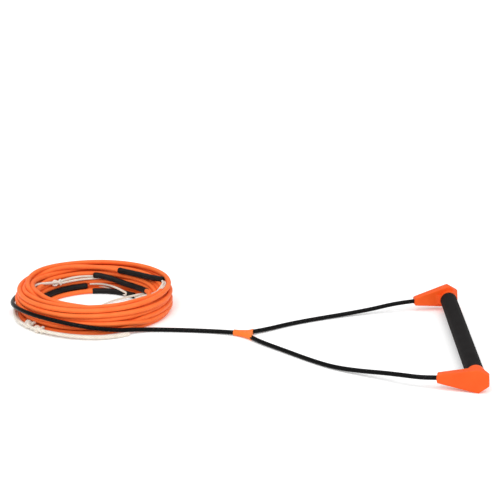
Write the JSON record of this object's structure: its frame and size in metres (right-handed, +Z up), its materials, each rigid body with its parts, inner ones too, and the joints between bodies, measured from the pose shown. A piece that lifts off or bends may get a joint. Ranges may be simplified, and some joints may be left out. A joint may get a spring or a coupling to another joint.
{
  "type": "tow rope handle",
  "caption": "Tow rope handle: a foam-covered bar between moulded end caps, a two-leg rope bridle with a moulded Y junction, and a lead line on a coiled sectional tow line.",
  "frame": {"origin": "middle of the handle's footprint: the centre of the bottom of the box round the bar, foam and end caps. The front cap's sharp corner touches the floor there and the back cap, the same moulding turned over, ends 6 mm above it", "axes": "+Y along the grip, +Z up, the bridle and the coil towards -X"},
  "size_m": [0.7443, 0.4979, 0.0469],
  "materials": {
    "foam_black": "matt closed-cell EVA foam",
    "tube_aluminium": "drawn, satin",
    "cap_orange": "moulded, satin",
    "junction_orange": "moulded, satin",
    "plug_foam": "closed-cell foam",
    "ferrule_metal": "swaged, dull",
    "rope_black": "smooth coating, glossy",
    "line_orange": "coated fine braid, satin",
    "sleeve_black": "shrunk sleeve, satin",
    "loop_white": "soft hollow braid"
  },
  "bodies": {
    "rope_package": {"lead_line": "rope_black", "mainline_coil": "line_orange", "section_one_coil": "line_orange", "section_two_coil": "line_orange", "lead_sleeve": "sleeve_black", "section_one_head_sleeve": "sleeve_black", "section_one_tail_sleeve": "sleeve_black", "section_two_head_sleeve": "sleeve_black", "section_two_tail_sleeve": "sleeve_black", "mainline_head_sleeve": "sleeve_black", "boat_sleeve": "sleeve_black", "lead_loop": "loop_white", "section_one_head_loop": "loop_white", "section_one_tail_loop": "loop_white", "section_two_head_loop": "loop_white", "section_two_tail_loop": "loop_white", "mainline_head_loop": "loop_white", "boat_loop": "loop_white"},
    "bridle": {"y_junction": "junction_orange", "splice_ferrule": "ferrule_metal", "bridle_leg_back": "rope_black", "bridle_leg_front": "rope_black", "lead_end": "rope_black"},
    "handle": {"handle_tube": "tube_aluminium", "foam_grip": "foam_black", "end_cap_back": "cap_orange", "end_cap_front": "cap_orange", "tube_plug_back": "plug_foam", "tube_plug_front": "plug_foam", "stopper_back": "ferrule_metal", "stopper_front": "ferrule_metal", "leg_end_back": "rope_black", "leg_end_front": "rope_black"}
  },
  "joints": [
    {"name": "bridle_swing", "type": "hinge", "parent": "rope_package", "child": "bridle", "pos_m": [-0.402, 0.0636, 0.0036], "axis": [0, 0, 1], "range_deg": [-25, 25]},
    {"name": "handle_flip", "type": "hinge", "parent": "bridle", "child": "handle", "pos_m": [-0.05963, 0, 0.01548], "axis": [0, -1, 0], "range_deg": [0, 90]}
  ]
}
